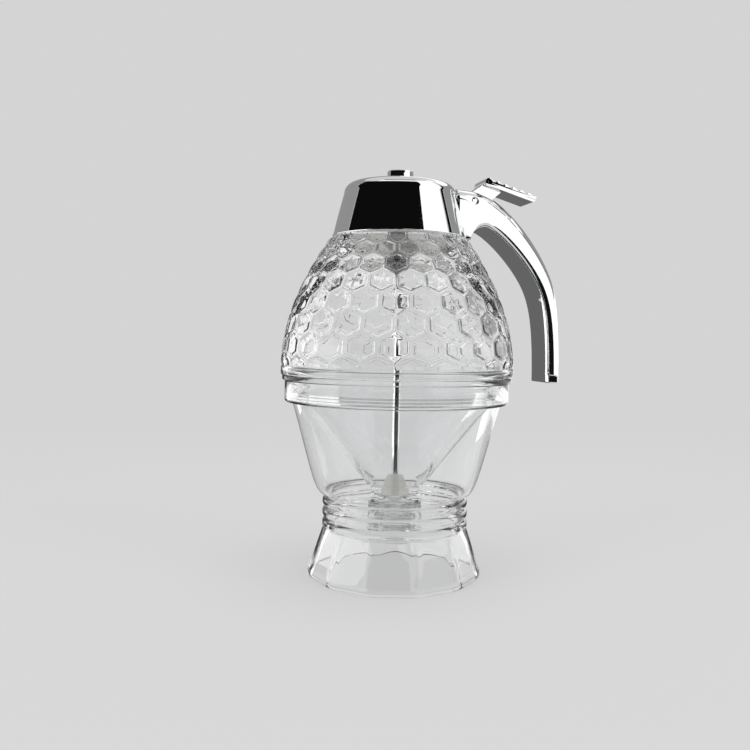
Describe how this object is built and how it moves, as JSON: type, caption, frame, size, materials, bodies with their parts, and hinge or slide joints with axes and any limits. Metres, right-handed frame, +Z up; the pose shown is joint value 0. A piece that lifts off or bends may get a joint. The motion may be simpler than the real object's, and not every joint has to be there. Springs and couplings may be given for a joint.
{
  "type": "honey dispenser",
  "caption": "Clear beehive-shaped honey jar with a chrome lid, hooked handle and thumb lever that lifts a rod valve in its spout, standing in a clear ringed stand.",
  "frame": {"origin": "centre of the circle the stand rests on, at the table", "axes": "+Z up along the jar's axis, +X towards the handle, +Y to the left when looking along +X"},
  "size_m": [0.1178, 0.0948, 0.165],
  "materials": {
    "clear_stand": "clear, polished",
    "clear_jar": "clear, honeycomb relief on the dome",
    "chrome": "bright plated",
    "steel": "drawn",
    "white_plastic": "moulded",
    "silicone": null
  },
  "bodies": {
    "stand": {"stand": "clear_stand"},
    "jar": {"dome": "clear_jar", "funnel": "clear_jar", "nozzle": "clear_jar"},
    "lid_seal": {"gasket": "silicone"},
    "lid": {"cap_shell": "chrome", "cap_liner": "white_plastic", "guide_bush": "chrome", "roof_bush": "white_plastic", "handle": "chrome", "handle_screw_left": "steel", "handle_screw_right": "steel", "pivot_pin": "steel", "return_spring": "steel"},
    "lever": {"trigger": "chrome"},
    "plunger": {"rod": "steel", "button": "chrome", "lift_collar": "white_plastic", "clip_upper": "steel", "clip_lower": "steel", "stopper": "silicone"}
  },
  "joints": [
    {"name": "jar_lift", "type": "slide", "parent": "stand", "child": "jar", "axis": [0, 0, 1], "range_m": [0, 0.085]},
    {"name": "lid_turn", "type": "hinge", "parent": "jar", "child": "lid_seal", "pos_m": [0, 0, 0.1414], "axis": [0, 0, 1], "continuous": true},
    {"name": "lid_lift", "type": "slide", "parent": "lid_seal", "child": "lid", "axis": [0, 0, 1], "range_m": [0, 0.125]},
    {"name": "trigger_press", "type": "hinge", "parent": "lid", "child": "lever", "pos_m": [0.0298, 0, 0.1535], "axis": [0, 1, 0], "range_deg": [0, 9], "stiffness_Nm_per_rad": 0.4, "springref_deg": -3.44},
    {"name": "plunger_lift", "type": "slide", "parent": "lid", "child": "plunger", "axis": [0, 0, 1], "range_m": [0, 0.005], "deforming": ["return_spring"]}
  ],
  "couplings": [
    {"joint": "plunger_lift", "follows": "trigger_press", "m_per_rad": 0.0303}
  ]
}
